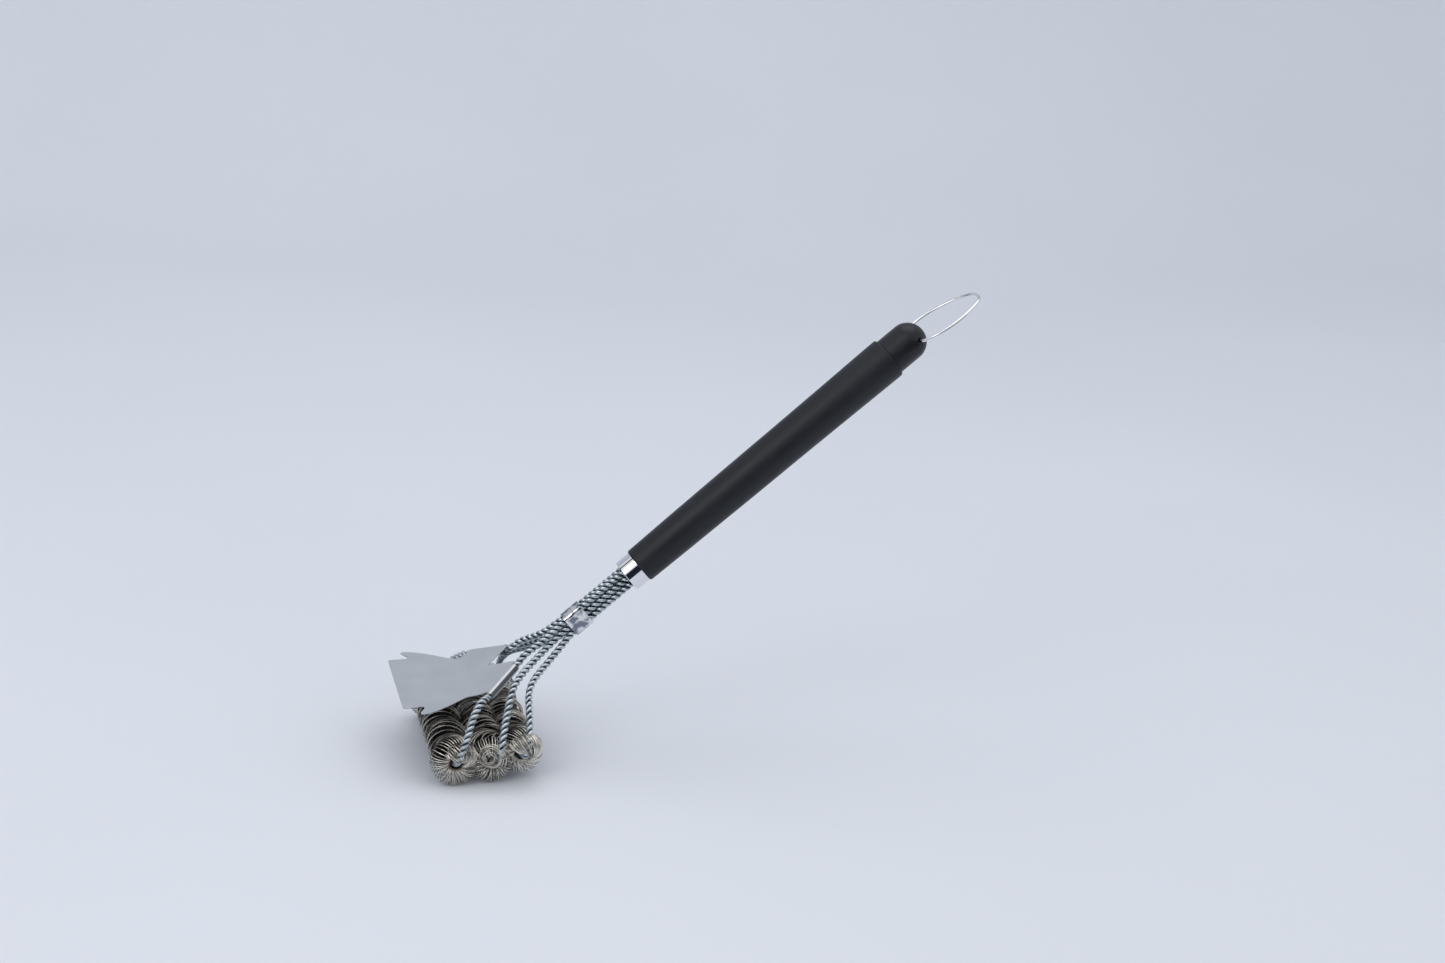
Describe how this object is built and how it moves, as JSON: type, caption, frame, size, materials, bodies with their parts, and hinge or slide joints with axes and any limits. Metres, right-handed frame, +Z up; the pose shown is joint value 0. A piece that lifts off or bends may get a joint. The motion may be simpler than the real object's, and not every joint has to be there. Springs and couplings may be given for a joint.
{
  "type": "grill cleaning brush",
  "caption": "Long-handled grill brush with rows of coiled scrubbing wire on twisted rod frames, a folded sheet scraper, a tapered grip and a hinged hanging loop.",
  "frame": {"origin": "on the level plane the front coil rests on, midway across the head, under the front coil and 2.4 mm ahead of the line straight below its axis", "axes": "+X along the tool towards the handle, +Y across the head, +Z up; the handle's axis climbs at 41.9 degrees in the XZ plane"},
  "size_m": [0.3644, 0.1245, 0.3043],
  "materials": {
    "grip_plastic": "satin near-black moulded plastic, fine grain",
    "cap_plastic": "satin near-black moulded plastic",
    "insert_plastic": "matt black insert",
    "chrome_tube": "polished chrome plate",
    "chrome_wire": "polished chrome plate",
    "rod_wire": "drawn stainless wire, blue-grey, twisted in pairs",
    "coil_wire": "fine drawn stainless wire, warm grey",
    "plate_steel": "satin stainless sheet",
    "clip_steel": "bright bent sheet"
  },
  "bodies": {
    "brush": {"grip_sleeve": "grip_plastic", "end_cap": "cap_plastic", "handle_tube": "chrome_tube", "bundle_plug": "insert_plastic", "crimp_band": "clip_steel", "bundle_clip": "clip_steel", "scraper_plate": "plate_steel", "front_frame_wire_a": "rod_wire", "front_frame_wire_b": "rod_wire", "middle_frame_wire_a": "rod_wire", "middle_frame_wire_b": "rod_wire", "rear_frame_wire_a": "rod_wire", "rear_frame_wire_b": "rod_wire", "front_coil": "coil_wire", "middle_coil": "coil_wire", "rear_coil": "coil_wire"},
    "loop": {"hanging_loop": "chrome_wire"}
  },
  "joints": [
    {"name": "loop_hinge", "type": "hinge", "parent": "brush", "child": "loop", "pos_m": [0.29479, 0, 0.2755], "axis": [0, 1, 0], "range_deg": [-155, 140]}
  ]
}
